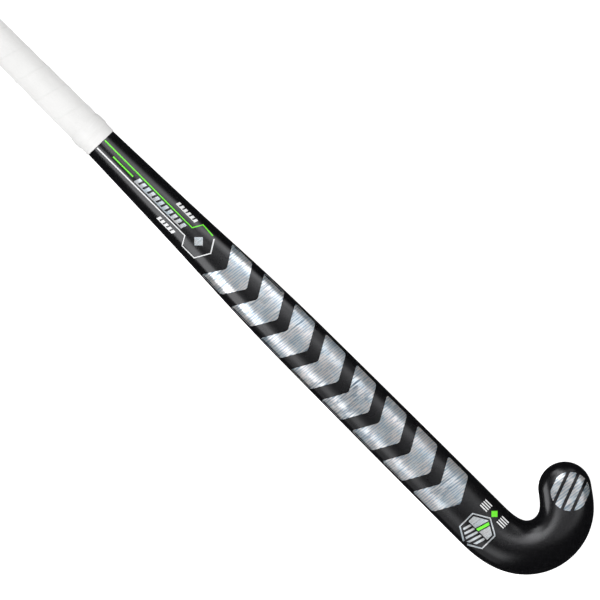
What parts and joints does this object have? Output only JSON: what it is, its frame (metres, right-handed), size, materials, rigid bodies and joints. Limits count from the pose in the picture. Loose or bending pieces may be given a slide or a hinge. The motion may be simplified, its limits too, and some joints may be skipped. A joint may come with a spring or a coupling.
{
  "type": "field hockey stick",
  "caption": "Composite field hockey stick with a hook head, a gentle bow, a flat playing face, a rounded back with foil graphics, a wrapped grip and a butt cap.",
  "frame": {"origin": "on the flat playing face, where the shaft's centreline passes the middle of the hook", "axes": "+X along the shaft from the butt to the heel, +Y towards the side the hook turns to, +Z out of the rounded back; the stick lies on its playing face"},
  "size_m": [0.927, 0.118, 0.0482],
  "materials": {
    "lacquered_composite": "black clear-coated carbon laminate",
    "bare_composite": "bare laminate",
    "head_foam": "rigid foam",
    "handle_foam": "rigid foam",
    "cap_rubber": "matte white",
    "underlay_foam": "soft dark foam tape",
    "grip_wrap": "soft white synthetic wrap",
    "finishing_tape": "satin white tape",
    "silver_foil": "brushed holographic foil under lacquer",
    "green_ink": "bright green ink under lacquer",
    "white_ink": "white ink under lacquer"
  },
  "bodies": {
    "root": {"composite_shell": "lacquered_composite", "centre_rib": "bare_composite", "head_core": "head_foam", "handle_core": "handle_foam", "end_cap": "cap_rubber", "grip_underlay": "underlay_foam", "grip_wrap": "grip_wrap", "finishing_tape": "finishing_tape", "shaft_chevron_1": "silver_foil", "shaft_chevron_2": "silver_foil", "shaft_chevron_3": "silver_foil", "shaft_chevron_4": "silver_foil", "shaft_chevron_5": "silver_foil", "shaft_chevron_6": "silver_foil", "shaft_chevron_7": "silver_foil", "shaft_chevron_8": "silver_foil", "neck_diamond": "silver_foil", "neck_hatch_silver": "silver_foil", "badge_frame": "silver_foil", "badge_plate_left": "silver_foil", "badge_plate_right": "silver_foil", "badge_stripe_1": "silver_foil", "badge_stripe_2": "silver_foil", "badge_stripe_3": "silver_foil", "badge_stripe_4": "silver_foil", "badge_stripe_5": "silver_foil", "head_band_1": "silver_foil", "head_band_2": "silver_foil", "head_band_3": "silver_foil", "head_band_4": "silver_foil", "neck_line_green": "green_ink", "neck_dash_green": "green_ink", "badge_bar_green": "green_ink", "badge_diamond": "green_ink", "neck_line_white": "white_ink", "neck_hatch_upper": "white_ink", "neck_hatch_lower": "white_ink", "badge_line_left_1": "white_ink", "badge_line_left_2": "white_ink", "badge_line_left_3": "white_ink", "badge_line_left_4": "white_ink", "badge_line_right_1": "white_ink", "badge_line_right_2": "white_ink", "badge_line_right_3": "white_ink", "badge_line_right_4": "white_ink"}
  },
  "joints": []
}
